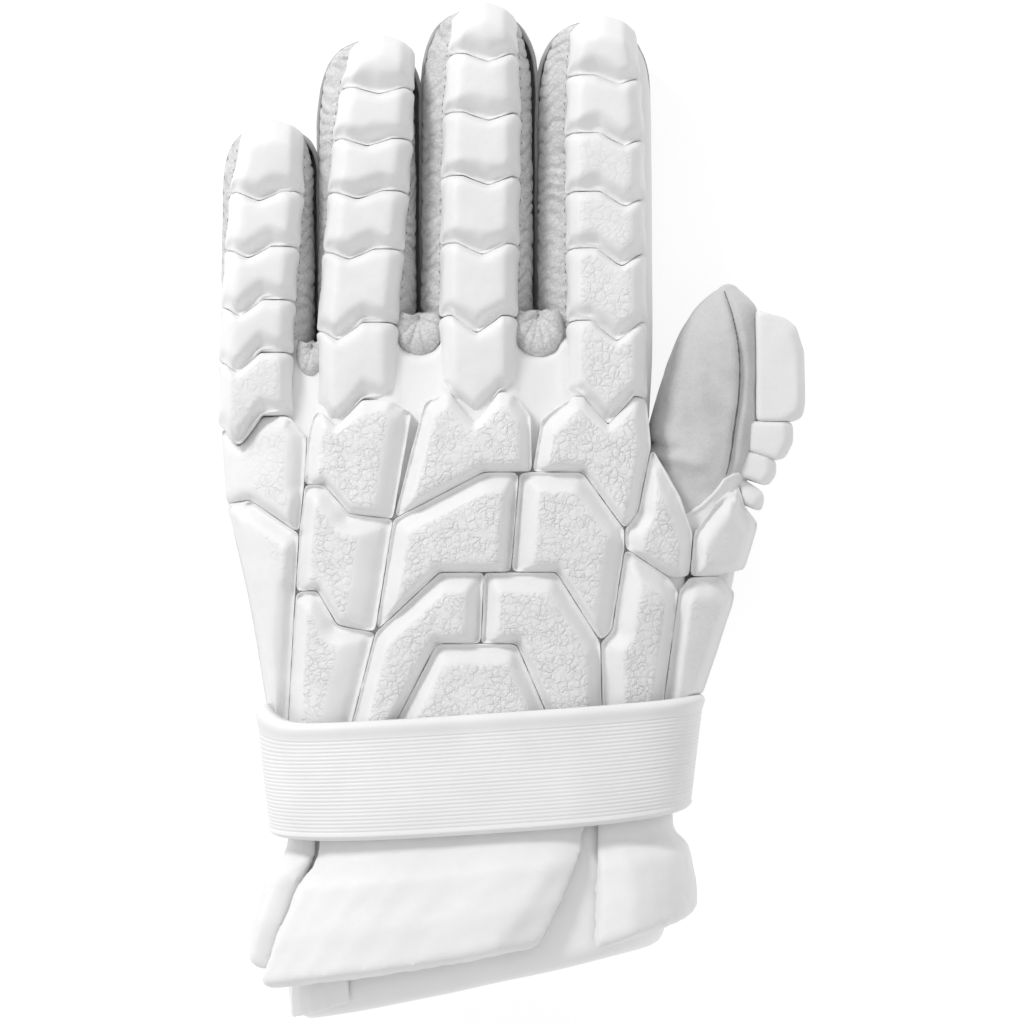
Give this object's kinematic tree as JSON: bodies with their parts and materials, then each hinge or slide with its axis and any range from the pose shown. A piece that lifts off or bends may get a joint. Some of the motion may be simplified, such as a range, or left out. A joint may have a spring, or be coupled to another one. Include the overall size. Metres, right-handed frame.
{
  "type": "lacrosse glove",
  "caption": "Padded left-hand lacrosse glove with segmented foam pads on the back, knit finger sides, a suede thumb, a wrist strap and a flared cuff.",
  "frame": {"origin": "on the palm's flat underside, 0.45 of the way from the strap's front edge to the finger crotches, on the hand's middle line", "axes": "+X towards the thumb side, +Y towards the fingertips, +Z out of the back of the hand"},
  "size_m": [0.1912, 0.3293, 0.0768],
  "materials": {
    "pad_skin": "white synthetic leather, lightly grained, over foam",
    "cuff_skin": "smooth white synthetic leather over foam",
    "base_cloth": "smooth white cloth",
    "finger_knit": "light grey textured knit",
    "thumb_suede": "mottled grey suede",
    "palm_leather": "grey suede",
    "strap_elastic": "white elastic strap with fine ribs along it"
  },
  "bodies": {
    "root": {"back_base": "base_cloth", "back_plate_middle_radial": "pad_skin", "back_plate_middle_ulnar": "pad_skin", "back_plate_upper_radial": "pad_skin", "back_plate_upper_ulnar": "pad_skin", "back_plate_wrist": "pad_skin", "cuff_band": "cuff_skin", "cuff_binding": "cuff_skin", "cuff_flap_back": "cuff_skin", "cuff_flap_thumb": "cuff_skin", "cuff_flap_ulnar": "cuff_skin", "index_finger_palm": "palm_leather", "index_knuckle_pad": "pad_skin", "index_pad_2": "pad_skin", "index_pad_3": "pad_skin", "index_pad_4": "pad_skin", "index_pad_5": "pad_skin", "index_pad_6": "pad_skin", "index_sleeve": "finger_knit", "index_tip_pad": "pad_skin", "little_finger_palm": "palm_leather", "little_knuckle_pad": "pad_skin", "little_pad_2": "pad_skin", "little_pad_3": "pad_skin", "little_pad_4": "pad_skin", "little_pad_5": "pad_skin", "little_sleeve": "finger_knit", "little_tip_pad": "pad_skin", "middle_finger_palm": "palm_leather", "middle_knuckle_pad": "pad_skin", "middle_pad_2": "pad_skin", "middle_pad_3": "pad_skin", "middle_pad_4": "pad_skin", "middle_pad_5": "pad_skin", "middle_pad_6": "pad_skin", "middle_sleeve": "finger_knit", "middle_tip_pad": "pad_skin", "palm_leather": "palm_leather", "radial_plate_lower": "pad_skin", "radial_plate_upper": "pad_skin", "ring_finger_palm": "palm_leather", "ring_knuckle_pad": "pad_skin", "ring_pad_2": "pad_skin", "ring_pad_3": "pad_skin", "ring_pad_4": "pad_skin", "ring_pad_5": "pad_skin", "ring_pad_6": "pad_skin", "ring_sleeve": "finger_knit", "ring_tip_pad": "pad_skin", "thumb_leather": "thumb_suede", "thumb_pad_2": "pad_skin", "thumb_pad_3": "pad_skin", "thumb_pad_4": "pad_skin", "thumb_plate_lower": "pad_skin", "thumb_saddle_pad": "pad_skin", "thumb_tip_pad": "pad_skin", "ulnar_plate_long": "pad_skin", "ulnar_plate_lower": "pad_skin", "ulnar_plate_upper": "pad_skin", "wrist_strap": "strap_elastic"}
  },
  "joints": []
}
